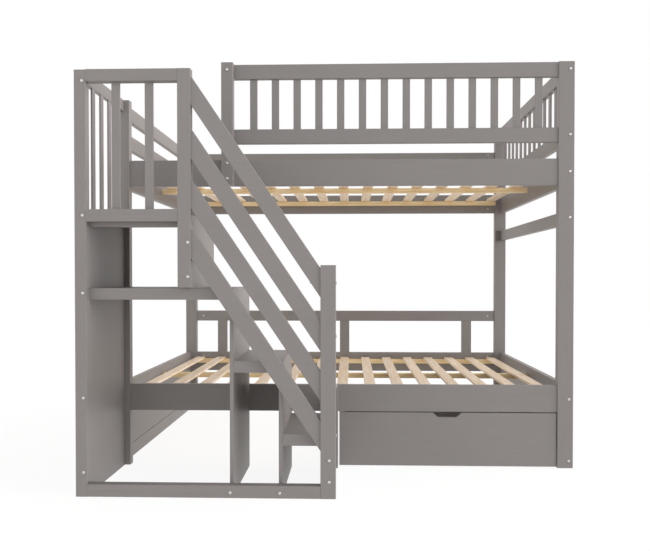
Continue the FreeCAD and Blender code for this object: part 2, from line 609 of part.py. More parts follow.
# Bolts along X in the middle of the front frame: rails into posts, sloping boards into posts.
frame_middle = "stair_front + frame_depth / 2"
for rail, z in (("stair_bottom_rail", "stair_bottom_rail_height / 2"),
                ("stair_landing_rail", "landing_rail_lift + landing_rail_height / 2 - cross_bolt_lift"),
                ("stair_top_rail", "stair_top_height - stair_top_rail_height / 2")):
    bolt(("stair_left", frame_middle, z), "+x", "left_stair_post_width + panel_bolt_bite",
         ["stair_post_left", rail])
bolt(("upper_post_x + upper_post_width", frame_middle, "landing_rail_lift + landing_rail_height / 2"), "-x",
     "upper_post_width + panel_bolt_bite", ["stair_post_upper", "stair_landing_rail"])
for index in range(slope_count):
    foot = slope_foot(index)
    bolt(("newel_x + newel_width", frame_middle, foot), "-x", "newel_width + panel_bolt_bite",
         ["newel_post", "slope_guard_boards"])
    bolt(("upper_post_x", frame_middle, f"{foot} + {slope_span} * slope - slope_bolt_drop"), "+x",
         "upper_post_width + panel_bolt_bite", ["stair_post_upper", "slope_guard_boards"])

# ---- drawer ----
front = doc.addObject("PartDesign::Body", "drawer_front_body")
pull_side = "(drawer_width - pull_top_width) / 2"
pull_slant = "(pull_top_width - pull_bottom_width) / 2"
front_height = "drawer_top - drawer_floor_gap"
wide, high, flat, slant, deep = (number(words) for words in (
    "drawer_width", front_height, pull_side, pull_slant, "pull_depth"))
face = outline(front, "side",
               [(0, 0), (wide, 0), (wide, high), (wide - flat, high), (wide - flat - slant, high - deep),
                (flat + slant, high - deep), (flat, high), (0, high)],
               [("DistanceX", 0, 1, "drawer_width"), ("DistanceY", 1, 2, front_height),
                ("DistanceY", 0, 7, front_height),
                ("DistanceX", 7, 6, pull_side), ("DistanceX", 3, 2, pull_side),
                ("DistanceX", 6, 5, pull_slant), ("DistanceX", 4, 3, pull_slant),
                ("DistanceY", 5, 6, "pull_depth")])
pad = front.newObject("PartDesign::Pad", "drawer_front_pad")
pad.Profile = face
bind(pad, Length="drawer_front_thickness")
place(front, ("drawer_left", "drawer_box_y", "drawer_floor_gap"))
finished("drawer_front", front)
PULL = (front, pad)

group("drawer_sides", [
    bar(f"drawer_side_{index}", (x, "drawer_box_y", "drawer_box_lift"),
        ("drawer_wall", "drawer_depth", "drawer_box_height"), "y", node=False)
    for index, x in enumerate(("drawer_box_x", "drawer_box_x + drawer_box_width - drawer_wall"))])
bar("drawer_back", ("drawer_inner_x", "drawer_box_y + drawer_depth - drawer_wall", "drawer_box_lift"),
    ("drawer_inner_width", "drawer_wall", "drawer_box_height"), "x")
finished("drawer_bottom", block("drawer_bottom_board", ("drawer_inner_x", "drawer_box_y", "drawer_bottom_z"),
         ("drawer_inner_width", "drawer_depth - drawer_wall", "drawer_bottom_thickness")))

WHEELS = {"front_left": ("drawer_inner_x + wheel_inset", "drawer_box_y + wheel_inset"),
          "front_right": ("drawer_inner_x + drawer_inner_width - wheel_inset", "drawer_box_y + wheel_inset"),
          "back_left": ("drawer_inner_x + wheel_inset", "drawer_box_y + drawer_depth - wheel_inset"),
          "back_right": ("drawer_inner_x + drawer_inner_width - wheel_inset",
                         "drawer_box_y + drawer_depth - wheel_inset")}
housings = []
axles = []
for name, (x, y) in WHEELS.items():
    tyre = rod(f"wheel_{name}_blank", (f"{x} - wheel_width / 2", y, "wheel_z"), "+x",
               "wheel_radius", "wheel_width")
    bore = rod(f"wheel_{name}_bore", (f"{x} - wheel_width", y, "wheel_z"), "+x",
               "axle_radius + axle_clearance", "2 * wheel_width")
    wheel = doc.addObject("Part::Cut", f"wheel_{name}_body")
    wheel.Base = tyre
    wheel.Tool = bore
    finished(f"drawer_wheel_{name}", wheel)
    top_plate = block(f"plate_{name}", (
        f"{x} - housing_width / 2", f"{y} - cheek_length / 2", "drawer_bottom_z - cheek_thickness"),
        ("housing_width", "cheek_length", "cheek_thickness"))
    cheeks = [block(f"cheek_{name}_{index}", (
        cheek_x, f"{y} - cheek_length / 2", "wheel_z - cheek_drop"),
        ("cheek_thickness", "cheek_length", "drawer_bottom_z - (wheel_z) + cheek_drop"))
        for index, cheek_x in enumerate((
            f"{x} - housing_width / 2", f"{x} + housing_width / 2 - cheek_thickness"))]
    fork = doc.addObject("Part::MultiFuse", f"fork_{name}")
    fork.Shapes = [top_plate, *cheeks]
    axle_start = (f"{x} - housing_width / 2 - axle_overhang", y, "wheel_z")
    axle_length = "housing_width + 2 * axle_overhang"
    drill(["wheel_housings"], rod(f"axle_hole_{name}", axle_start, "+x", "axle_radius", axle_length))
    housings.append(fork)
    axles.append(rod(f"axle_{name}", axle_start, "+x", "axle_radius", axle_length))
group("wheel_housings", housings)
group("wheel_axles", axles)

group("frame_bolts", BOLTS)
group("barrel_nuts", NUTS)

# ---- screw holes, rounded edges and drilled holes ----
for screw in screws:
    level = screw.Name.split("_")[0]
    hole = rod(f"{screw.Name}_hole", ("0", "0", "0"), "-z", "screw_radius + bolt_clearance", "screw_length")
    for axis in "xyz":
        hole.setExpression(f"Placement.Base.{axis}", f"{screw.Name}.Placement.Base.{axis}")
    drill([f"{level}_slats", "slat_cleats"], hole)

doc.recompute()
for body, pad, grain in ROUNDING:
    along = [f"Edge{index}" for index, edge in enumerate(pad.Shape.Edges, start=1)
             if abs(edge.tangentAt(edge.FirstParameter).dot(DIRECTIONS[grain])) > 0.99]
    fillet = body.newObject("PartDesign::Fillet", f"{pad.Name}_round")
    fillet.Base = (pad, along)
    bind(fillet, Radius="edge_radius")
front, pad = PULL
pull_floor = number("drawer_top - pull_depth")
low_corners = [f"Edge{index}" for index, edge in enumerate(pad.Shape.Edges, start=1)
               if abs(edge.tangentAt(edge.FirstParameter).y) > 0.99
               and abs(edge.CenterOfMass.z + number("drawer_floor_gap") - pull_floor) < 0.01]
fillet = front.newObject("PartDesign::Fillet", "drawer_pull_round")
fillet.Base = (pad, low_corners)
bind(fillet, Radius="pull_radius")

for label, tools in DRILLING.items():
    holes = doc.addObject("Part::Compound", f"{label}_holes")
    holes.Links = tools
    drilled = doc.addObject("Part::Cut", f"{label}_drilled")
    drilled.Base = NODES[label]
    drilled.Tool = holes
    NODES[label] = drilled
doc.recompute()

for label, item in NODES.items():
    item.Label = label
failed = [item.Name for item in doc.Objects if {"Invalid", "Error"} & set(item.State)]
if failed:
    raise RuntimeError(f"failed objects: {failed}")
for label, item in NODES.items():
    if item.Shape.isNull() or not item.Shape.isValid() or not item.Shape.Solids:
        raise RuntimeError(f"bad shape: {label}")

os.makedirs("parts", exist_ok=True)
for label, item in NODES.items():
    item.Shape.exportStep(f"parts/{label}.step")
print(f"{len(NODES)} nodes, {sum(len(item.Shape.Solids) for item in NODES.values())} solids")
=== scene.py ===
"""Looks for a grey bunk bed with storage stairs and a drawer on wheels.

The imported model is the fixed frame. Each sub-assembly is a class that dresses its
nodes and models what is finer than the frame: bolts, cross nuts, screws and wheels.
Fields whose names end in _mm are millimetres; meshes are made in metres.
"""

import logging
import math
from collections.abc import Callable
from dataclasses import dataclass, field
from enum import Enum

import bpy
from mathutils import Matrix, Vector


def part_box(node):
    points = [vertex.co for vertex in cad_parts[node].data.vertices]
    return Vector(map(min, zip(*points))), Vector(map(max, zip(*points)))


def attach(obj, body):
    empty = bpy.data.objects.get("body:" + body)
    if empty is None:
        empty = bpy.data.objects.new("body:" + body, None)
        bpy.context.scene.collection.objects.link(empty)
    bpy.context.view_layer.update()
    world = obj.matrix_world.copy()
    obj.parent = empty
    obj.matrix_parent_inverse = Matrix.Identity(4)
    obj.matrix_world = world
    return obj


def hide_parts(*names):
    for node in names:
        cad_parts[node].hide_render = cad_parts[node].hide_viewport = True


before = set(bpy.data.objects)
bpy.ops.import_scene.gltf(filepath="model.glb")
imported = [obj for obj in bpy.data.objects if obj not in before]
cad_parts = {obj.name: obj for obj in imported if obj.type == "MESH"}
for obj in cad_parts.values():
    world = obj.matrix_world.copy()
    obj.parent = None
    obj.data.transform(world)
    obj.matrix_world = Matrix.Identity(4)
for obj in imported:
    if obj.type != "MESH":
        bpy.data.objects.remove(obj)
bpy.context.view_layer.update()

LOG = logging.getLogger("bunk_bed")
MM = 0.001
WHITE = (1.0, 1.0, 1.0, 1.0)

# The colour sockets of a Mix node, whose names are also those of its number sockets.
MIX_A, MIX_B, MIX_RESULT = 6, 7, 2

# A face looks along an axis if its normal's part along that axis is more than this.
FACING = 0.9

# Faces that meet at a smaller angle than this are shaded as one round surface.
SMOOTH_DEG = 32.0

# A fastener is modelled with a shank this long, and each copy's is then set to its own length.
STUB_MM = 20.0


# ---- small helpers ----

def linear(code: str) -> tuple[float, float, float, float]:
    """Turn an sRGB hex colour into linear red, green, blue and alpha.

    Args:
        code: six hex digits with a leading #.

    Returns:
        Four numbers, with alpha 1.
    """
    def channel(pair: str) -> float:
        """One sRGB channel as a linear number."""
        value = int(pair, 16) / 255
        return value / 12.92 if value <= 0.04045 else ((value + 0.055) / 1.055) ** 2.4
    return (*(channel(code[i:i + 2]) for i in (1, 3, 5)), 1.0)


def add_node(tree: bpy.types.NodeTree, kind: str,
             links: dict[str | int, bpy.types.NodeSocket] | None = None,
             stops: tuple[tuple[float, str], ...] = (), **settings: object) -> bpy.types.Node:
    """Add a shader node, set its properties or inputs and link its inputs.

    Args:
        tree: the material's or world's node tree.
        kind: the node's type name without the ShaderNode prefix.
        links: input name or index to the output socket that feeds it.
        stops: position and hex colour of the two ends of a node's colour ramp.
        settings: property names, or input names with spaces written as underscores.

    Returns:
        The new node.
    """
    node = tree.nodes.new(f"ShaderNode{kind}")
    for name, value in settings.items():
        if hasattr(node, name):
            setattr(node, name, value)
        else:
            node.inputs[name.replace("_", " ")].default_value = value
    for name, output in (links or {}).items():
        tree.links.new(output, node.inputs[name])
    for index, (position, code) in enumerate(stops):
        node.color_ramp.elements[index].position = position
        node.color_ramp.elements[index].color = linear(code)
    return node


def seen_directly(tree: bpy.types.NodeTree) -> bpy.types.NodeSocket:
    """Tell rays that show a surface from rays that only carry its light.

    Args:
        tree: the node tree of the floor or the world.

    Returns:
        An output that is 1 for camera and glossy rays and 0 for all others.
    """
    ray = add_node(tree, "LightPath")
    either = add_node(tree, "Math", {0: ray.outputs["Is Camera Ray"], 1: ray.outputs["Is Glossy Ray"]},
                      operation="MAXIMUM")
    return either.outputs[0]


def select_only(*objects: bpy.types.Object) -> None:
    """Deselect everything, then select these objects and make the first one active.

    Args:
        objects: what is to be selected, at least one.
    """
    bpy.ops.object.select_all(action="DESELECT")
    for item in objects:
        item.select_set(True)
    bpy.context.view_layer.objects.active = objects[0]


def pick_faces(piece: bpy.types.Object, test: Callable[[Vector], bool]) -> None:
    """Select the faces of a mesh in edit mode that a test accepts.

    Edges that an earlier operator left selected stay so, and an extrude takes them too.

    Args:
        piece: the active object, in edit mode.
        test: a function of a face's normal.
    """
    bpy.ops.object.mode_set(mode="OBJECT")
    for polygon in piece.data.polygons:
        polygon.select = test(polygon.normal)
    bpy.ops.object.mode_set(mode="EDIT")


def carve(piece: bpy.types.Object, *cutters: bpy.types.Object) -> None:
    """Cut other solids out of a piece and remove them.

    Args:
        piece: the mesh that is cut.
        cutters: the solids to cut out of it.
    """
    for cutter in cutters:
        select_only(piece)
        cut = piece.modifiers.new("carve", "BOOLEAN")
        cut.object = cutter
        cut.solver = "EXACT"
        bpy.ops.object.modifier_apply(modifier=cut.name)
        bpy.data.objects.remove(cutter)


# ---- where the frame's fasteners are ----

@dataclass(frozen=True)
class Seat:
    """Where one fastener sits.

    Fields are the point that its master's origin goes to, the way its head faces, and
    its reach, which is the distance in metres from that point to its far end.
    """

    point: Vector
    facing: Vector
    reach: float


def loose_parts(name: str) -> list[list[Vector]]:
    """Sort a node's corner points by the separate solid they belong to.

    Args:
        name: a node of the frame.

    Returns:
        One list of points for each solid.
    """
    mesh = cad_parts[name].data
    leader = list(range(len(mesh.vertices)))

    def head(index: int) -> int:
        """Find the point that stands for the solid that a point is known to be in.

        Args:
            index: the point's index.

        Returns:
            The index of the point that stands for them all.
        """
        while leader[index] != index:
            leader[index] = leader[leader[index]]
            index = leader[index]
        return index

    # The triangles are loose, so their points are joined where they agree to a micrometre.
    decimals = 6
    known: dict[tuple[float, ...], int] = {}
    for vertex in mesh.vertices:
        key = tuple(round(value, decimals) for value in vertex.co)
        leader[head(vertex.index)] = head(known.setdefault(key, vertex.index))
    for polygon in mesh.polygons:
        for index in polygon.vertices[1:]:
            leader[head(index)] = head(polygon.vertices[0])
    parts: dict[int, list[Vector]] = {}
    for vertex in mesh.vertices:
        parts.setdefault(head(vertex.index), []).append(vertex.co.copy())
    return list(parts.values())


def corners(part: list[Vector]) -> tuple[Vector, Vector]:
    """Find the box round a solid.

    Args:
        part: the solid's points.

    Returns:
        Its lowest and its highest corner.
    """
    return (Vector(min(point[i] for point in part) for i in range(3)),
            Vector(max(point[i] for point in part) for i in range(3)))


def seat_of(part: list[Vector]) -> Seat:
    """Read a round fastener's seat from its corner points.

    Args:
        part: the points of one solid, longest along its own axis.

    Returns:
        The seat, at the end where the fastener is widest.
    """
    low, high = corners(part)
    axis = max(range(3), key=lambda i: high[i] - low[i])
    middle = (low + high) / 2
    across = [i for i in range(3) if i != axis]
    widest = max(part, key=lambda point: sum((point[i] - middle[i]) ** 2 for i in across))
    way = 1 if widest[axis] > middle[axis] else -1
    point, facing = middle.copy(), Vector((0, 0, 0))
    point[axis], facing[axis] = widest[axis], way
    return Seat(point, facing, abs(widest[axis] - (low if way > 0 else high)[axis]))


def set_copies(master: bpy.types.Object, seats: list[Seat]) -> bpy.types.Object:
    """Copy a fastener to every seat and join the copies.

    Points more than half a stub below the master's origin are its shank's end, and go
    to the seat's reach. A cross nut has no shank and no points so low.

    Args:
        master: the fastener, head up, with its seat at the origin.
        seats: where the copies go.

    Returns:
        One mesh with a copy at every seat. The master is removed.
    """
    copies = []
    for seat in seats:
        select_only(master)
        bpy.ops.object.duplicate()
        copy = bpy.context.object
        for vertex in copy.data.vertices:
            if vertex.co.z < -STUB_MM * MM / 2:
                vertex.co.z = -seat.reach
        turn = seat.facing.to_track_quat("Z", "Y").to_matrix().to_4x4()
        copy.matrix_world = Matrix.Translation(seat.point) @ turn
        copies.append(copy)
    select_only(*copies)
    bpy.ops.object.join()
    bpy.ops.object.transform_apply(location=True, rotation=True, scale=True)
    whole = bpy.context.object
    bpy.data.objects.remove(master)
    return whole


# ---- finishes ----

# A pattern's detail and mix are how many finer layers it has and how strong they are.
# The photograph's pixels are 4 to 6 mm wide on the object, so most patterns are coarser
# than the real ones, and each finish says so.

class Grain(Enum):
    """The axis that a board's wood grain follows, as the turn that brings it to Z."""

    X = (0.0, math.radians(90), 0.0)
    Y = (math.radians(90), 0.0, 0.0)
    Z = (0.0, 0.0, 0.0)


def new_material(name: str) -> tuple[bpy.types.Material, bpy.types.NodeTree, bpy.types.Node]:
    """Make an empty node material.

    Args:
        name: the material's name.

    Returns:
        The material, its tree and its Principled BSDF.
    """
    material = bpy.data.materials.new(name)
    material.use_nodes = True
    tree = material.node_tree
    tree.nodes.clear()
    shader = add_node(tree, "BsdfPrincipled")
    add_node(tree, "OutputMaterial", {"Surface": shader.outputs[0]})
    return material, tree, shader


@dataclass(frozen=True)
class SprayedLacquer:
    """Grey polyurethane lacquer sprayed on sanded pine.

    It gives an even satin grey; the grain telegraphs through as faint long ripples,
    and the spray leaves a fine orange peel. Broad clouds shift the grey a little.
    The ripples are drawn wider than the wood's own lines, so that they show.
    """

    colour: str = "#8B8785"
    shade: str = "#878381"
    cloud_mm: float = 260.0
    cloud_detail: float = 2.0
    shade_span: tuple[float, float] = (0.7, 1.3)
    ripple_mm: float = 14.0
    ripple_detail: float = 4.0
    ripple_mix: float = 0.55
    ripple_height_mm: float = 0.6
    ripple_strength: float = 0.12
    stretch: float = 14.0
    peel_mm: float = 2.5
    peel_height_mm: float = 0.3
    peel_strength: float = 0.06
    roughness: tuple[float, float] = (0.42, 0.52)
    ior: float = 1.5

    def material(self, grain: Grain) -> bpy.types.Material:
        """Make the lacquer for boards whose grain follows one axis.

        Args:
            grain: that axis.

        Returns:
            The material.
        """
        material, tree, shader = new_material(f"sprayed_lacquer_on_pine_{grain.name.lower()}")
        place = add_node(tree, "TexCoord").outputs["Object"]
        turned = add_node(tree, "Mapping", {"Vector": place}, Rotation=grain.value)
        along = add_node(tree, "Mapping", {"Vector": turned.outputs[0]},
                         Scale=(1, 1, 1 / self.stretch))
        ripple = add_node(tree, "TexNoise", {"Vector": along.outputs[0]},
                          Scale=1 / (self.ripple_mm * MM), Detail=self.ripple_detail,
                          Roughness=self.ripple_mix)
        cloud = add_node(tree, "TexNoise", {"Vector": place}, Scale=1 / (self.cloud_mm * MM),
                         Detail=self.cloud_detail)
        both = add_node(tree, "Math", {0: ripple.outputs[0], 1: cloud.outputs[0]}, operation="ADD")
        tone = add_node(tree, "MapRange", {"Value": both.outputs[0]},
                        From_Min=self.shade_span[0], From_Max=self.shade_span[1])
        colour = add_node(tree, "ValToRGB", {"Fac": tone.outputs[0]},
                          stops=((0.0, self.shade), (1.0, self.colour)))
        tree.links.new(colour.outputs[0], shader.inputs["Base Color"])
        rough = add_node(tree, "MapRange", {"Value": ripple.outputs[0]},
                         To_Min=self.roughness[0], To_Max=self.roughness[1])
        tree.links.new(rough.outputs[0], shader.inputs["Roughness"])
        peel = add_node(tree, "TexNoise", {"Vector": place}, Scale=1 / (self.peel_mm * MM))
        low = add_node(tree, "Bump", {"Height": ripple.outputs[0]},
                       Strength=self.ripple_strength, Distance=self.ripple_height_mm * MM)
        top = add_node(tree, "Bump", {"Height": peel.outputs[0], "Normal": low.outputs[0]},
                       Strength=self.peel_strength, Distance=self.peel_height_mm * MM)
        tree.links.new(top.outputs[0], shader.inputs["Normal"])
        shader.inputs["IOR"].default_value = self.ior
        return material


@dataclass(frozen=True)
class PlanedPine:
    """Planed spruce-pine with a clear lacquer.

    It gives a pale straw colour with darker latewood lines along the grain, a tone of
    its own for each slat and a few brown knots. The lines are drawn further apart than
    real ones, so that they show. Slats are told apart by their pitch, and each one's
    pattern is moved by up to the jump, so that no two are alike. The knots' pattern is
    squashed along the grain, which draws the knots out along it.
    """

    name: str = "slats"
    early: str = "#F6E6D0"
    late: str = "#E2C7A2"
    knot: str = "#9A6A42"
    ring_mm: float = 9.0
    ring_detail: float = 3.0
    ring_mix: float = 0.6
    ring_span: tuple[float, float] = (0.38, 0.68)
    ring_height_mm: float = 0.4
    ring_strength: float = 0.2
    stretch: float = 22.0
    pitch_mm: float = 130.7
    jump_mm: float = 5000.0
    slat_tones: tuple[float, float] = (0.9, 1.06)
    knot_mm: float = 210.0
    knot_squash: float = 0.55
    knot_edge: tuple[float, float] = (0.03, 0.075)
    knot_strength: float = 0.85
    roughness: float = 0.5
    ior: float = 1.5

    def own_place(self, tree: bpy.types.NodeTree,
                  grain: Grain) -> tuple[bpy.types.NodeSocket, bpy.types.NodeSocket]:
        """Give each board a tone and a stretch of timber of its own.

        Args:
            tree: the material's node tree.
            grain: the axis that the grain follows.

        Returns:
            A number from 0 to 1 that is the same all over a board, and the moved place.
        """
        place = add_node(tree, "TexCoord").outputs["Object"]
        split = add_node(tree, "SeparateXYZ", {"Vector": place})
        side = split.outputs["Y" if grain is Grain.X else "X"]
        count = add_node(tree, "Math", {0: side}, operation="DIVIDE")
        count.inputs[1].default_value = self.pitch_mm * MM
        board = add_node(tree, "Math", {0: count.outputs[0]}, operation="ROUND")
        storey = add_node(tree, "Math", {0: split.outputs["Z"]}, operation="ROUND")
        seed = add_node(tree, "CombineXYZ", {"X": board.outputs[0], "Y": storey.outputs[0]})
        chance = add_node(tree, "TexWhiteNoise", {"Vector": seed.outputs[0]})
        jump = add_node(tree, "VectorMath", {0: chance.outputs["Color"]}, operation="SCALE",
                        Scale=self.jump_mm * MM)
        moved = add_node(tree, "VectorMath", {0: place, 1: jump.outputs[0]}, operation="ADD")
        return chance.outputs["Value"], moved.outputs[0]

    def material(self, grain: Grain) -> bpy.types.Material:
        """Make the pine for boards whose grain follows one axis.

        Args:
            grain: that axis.

        Returns:
            The material.
        """
        material, tree, shader = new_material(f"planed_pine_{self.name}_{grain.name.lower()}")
        chance, moved = self.own_place(tree, grain)
        turned = add_node(tree, "Mapping", {"Vector": moved}, Rotation=grain.value)
        along = add_node(tree, "Mapping", {"Vector": turned.outputs[0]},
                         Scale=(1, 1, 1 / self.stretch))
        rings = add_node(tree, "TexNoise", {"Vector": along.outputs[0]},
                         Scale=1 / (self.ring_mm * MM), Detail=self.ring_detail,
                         Roughness=self.ring_mix)
        wood = add_node(tree, "ValToRGB", {"Fac": rings.outputs[0]},
                        stops=tuple(zip(self.ring_span, (self.early, self.late))))
        tone = add_node(tree, "MapRange", {"Value": chance},
                        To_Min=self.slat_tones[0], To_Max=self.slat_tones[1])
        toned = add_node(tree, "HueSaturation", {"Color": wood.outputs[0], "Value": tone.outputs[0]})
        oval = add_node(tree, "Mapping", {"Vector": turned.outputs[0]},
                        Scale=(1, 1, self.knot_squash))
        spots = add_node(tree, "TexVoronoi", {"Vector": oval.outputs[0]},
                         Scale=1 / (self.knot_mm * MM))
        dark = add_node(tree, "MapRange", {"Value": spots.outputs["Distance"]},
                        From_Min=self.knot_edge[0], From_Max=self.knot_edge[1],
                        To_Min=self.knot_strength, To_Max=0.0)
        knots = add_node(tree, "Mix", {"Factor": dark.outputs[0], MIX_A: toned.outputs[0]},
                         data_type="RGBA")
        knots.inputs[MIX_B].default_value = linear(self.knot)
        tree.links.new(knots.outputs[MIX_RESULT], shader.inputs["Base Color"])
        bump = add_node(tree, "Bump", {"Height": rings.outputs[0]},
                        Strength=self.ring_strength, Distance=self.ring_height_mm * MM)
        tree.links.new(bump.outputs[0], shader.inputs["Normal"])
        shader.inputs["Roughness"].default_value = self.roughness
        shader.inputs["IOR"].default_value = self.ior
        return material


@dataclass(frozen=True)
class ZincPlatedSteel:
    """Barrel-plated zinc on turned steel.

    It gives a bright grey metal with tumbling marks that dull it in spots. They are
    drawn coarser than real ones, so that they show.
    """

    colour: str = "#CBC8C4"
    mark_mm: float = 1.2
    mark_detail: float = 3.0
    roughness: tuple[float, float] = (0.22, 0.42)

    def material(self) -> bpy.types.Material:
        """Make the plated steel.

        Returns:
            The material.
        """
        material, tree, shader = new_material("zinc_plated_steel")
        place = add_node(tree, "TexCoord").outputs["Object"]
        marks = add_node(tree, "TexNoise", {"Vector": place}, Scale=1 / (self.mark_mm * MM),
                         Detail=self.mark_detail)
        rough = add_node(tree, "MapRange", {"Value": marks.outputs[0]},
                         To_Min=self.roughness[0], To_Max=self.roughness[1])
        tree.links.new(rough.outputs[0], shader.inputs["Roughness"])
        shader.inputs["Base Color"].default_value = linear(self.colour)
        shader.inputs["Metallic"].default_value = 1.0
        return material


@dataclass(frozen=True)
class Moulded:
    """Injection-moulded plastic with a spark-eroded texture.

    It gives a matt and even dark surface. The grit is drawn coarser than a real one,
    so that it shows.
    """

    name: str
    colour: str
    roughness: float
    grit_mm: float = 0.8
    grit_height_mm: float = 0.2
    grit_strength: float = 0.15

    def material(self) -> bpy.types.Material:
        """Make the moulded plastic.

        Returns:
            The material.
        """
        material, tree, shader = new_material(self.name)
        place = add_node(tree, "TexCoord").outputs["Object"]
        grit = add_node(tree, "TexNoise", {"Vector": place}, Scale=1 / (self.grit_mm * MM))
        bump = add_node(tree, "Bump", {"Height": grit.outputs[0]},
                        Strength=self.grit_strength, Distance=self.grit_height_mm * MM)
        tree.links.new(bump.outputs[0], shader.inputs["Normal"])
        shader.inputs["Base Color"].default_value = linear(self.colour)
        shader.inputs["Roughness"].default_value = self.roughness
        return material


@dataclass
class Workshop:
    """Keeps one copy of each finish, dresses nodes with them and fits new pieces."""

    lacquer: dict[Grain, bpy.types.Material] = field(init=False)
    slats: bpy.types.Material = field(init=False)
    beams: bpy.types.Material = field(init=False)
    leg: bpy.types.Material = field(init=False)
    zinc: bpy.types.Material = field(init=False)
    tyre: bpy.types.Material = field(init=False)
    fork: bpy.types.Material = field(init=False)

    def __post_init__(self) -> None:
        """Make every finish once."""
        self.lacquer = {grain: SprayedLacquer().material(grain) for grain in Grain}
        self.slats = PlanedPine().material(Grain.Y)
        beams = PlanedPine("beams", early="#FBE7BC", late="#E9C992")
        self.beams, self.leg = beams.material(Grain.X), beams.material(Grain.Z)
        self.zinc = ZincPlatedSteel().material()
        self.tyre = Moulded("moulded_polypropylene", "#1D1D1E", roughness=0.5).material()
        self.fork = Moulded("moulded_nylon", "#2B2B2D", roughness=0.55).material()

    @staticmethod
    def dress(name: str, material: bpy.types.Material) -> None:
        """Give a node of the frame one material all over.

        Args:
            name: the node.
            material: its finish.
        """
        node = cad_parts[name]
        node.data.materials.clear()
        node.data.materials.append(material)
        LOG.info("dressed %s in %s", name, material.name)

    @staticmethod
    def fit(piece: bpy.types.Object, name: str, node: str, body: str, slot: str,
            material: bpy.types.Material) -> None:
        """Finish a new piece and let it stand for a node of the frame.

        Args:
            piece: the new mesh, with its place in its points.
            name: the piece's name.
            node: the node that it replaces.
            body: the body that it moves with.
            slot: not used.
            material: its finish.
        """
        select_only(piece)
        bpy.ops.object.shade_smooth_by_angle(angle=math.radians(SMOOTH_DEG))
        piece.name = piece.data.name = name
        piece.data.materials.clear()
        piece.data.materials.append(material)
        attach(piece, body)
        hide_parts(node)
        LOG.info("fitted %s in %s", name, material.name)


# ---- sub-assemblies ----

@dataclass
class PaintedTimber:
    """Every painted board and post, by the way its grain runs."""

    along_x: tuple[str, ...] = (
        "upper_side_rail_front", "upper_side_rail_back", "lower_side_rail_front",
        "lower_side_rail_back", "back_guard_boards", "front_guard_rails", "low_guard_rail",
        "stair_top_rail", "stair_landing_rail", "stair_bottom_rail", "landing_board",
        "landing_batten", "step_upper", "step_middle", "step_lower", "drawer_front", "drawer_back",
        "drawer_bottom", "slope_guard_boards")
    along_y: tuple[str, ...] = (
        "upper_end_rails", "lower_end_rails", "end_bottom_rails", "end_panels", "mid_rail_right",
        "left_guard_boards", "right_guard_rails", "stair_side_rails", "drawer_sides")
    along_z: tuple[str, ...] = (
        "post_front_left", "post_back_left", "post_front_right", "post_back_right",
        "front_guard_post", "guard_balusters", "low_guard_stubs", "stair_post_left",
        "stair_post_upper", "newel_post", "stair_rear_leg", "stair_front_balusters",
        "stair_side_balusters", "stair_side_panel", "divider_upper", "divider_middle",
        "divider_lower", "stair_end_panel")

    def build(self, shop: Workshop) -> None:
        """Dress the painted nodes.

        Args:
            shop: the workshop with the finishes.
        """
        for grain, names in ((Grain.X, self.along_x), (Grain.Y, self.along_y),
                             (Grain.Z, self.along_z)):
            for name in names:
                shop.dress(name, shop.lacquer[grain])


@dataclass
class SlattedBases:
    """Both slatted bases, with their cleats, middle beams and leg."""

    along_x: tuple[str, ...] = ("slat_cleats", "middle_beams")
    along_y: tuple[str, ...] = ("upper_slats", "lower_slats")

    def build(self, shop: Workshop) -> None:
        """Dress the pine nodes.

        Args:
            shop: the workshop with the finishes.
        """
        for name in self.along_x:
            shop.dress(name, shop.beams)
        for name in self.along_y:
            shop.dress(name, shop.slats)
        shop.dress("beam_leg", shop.leg)


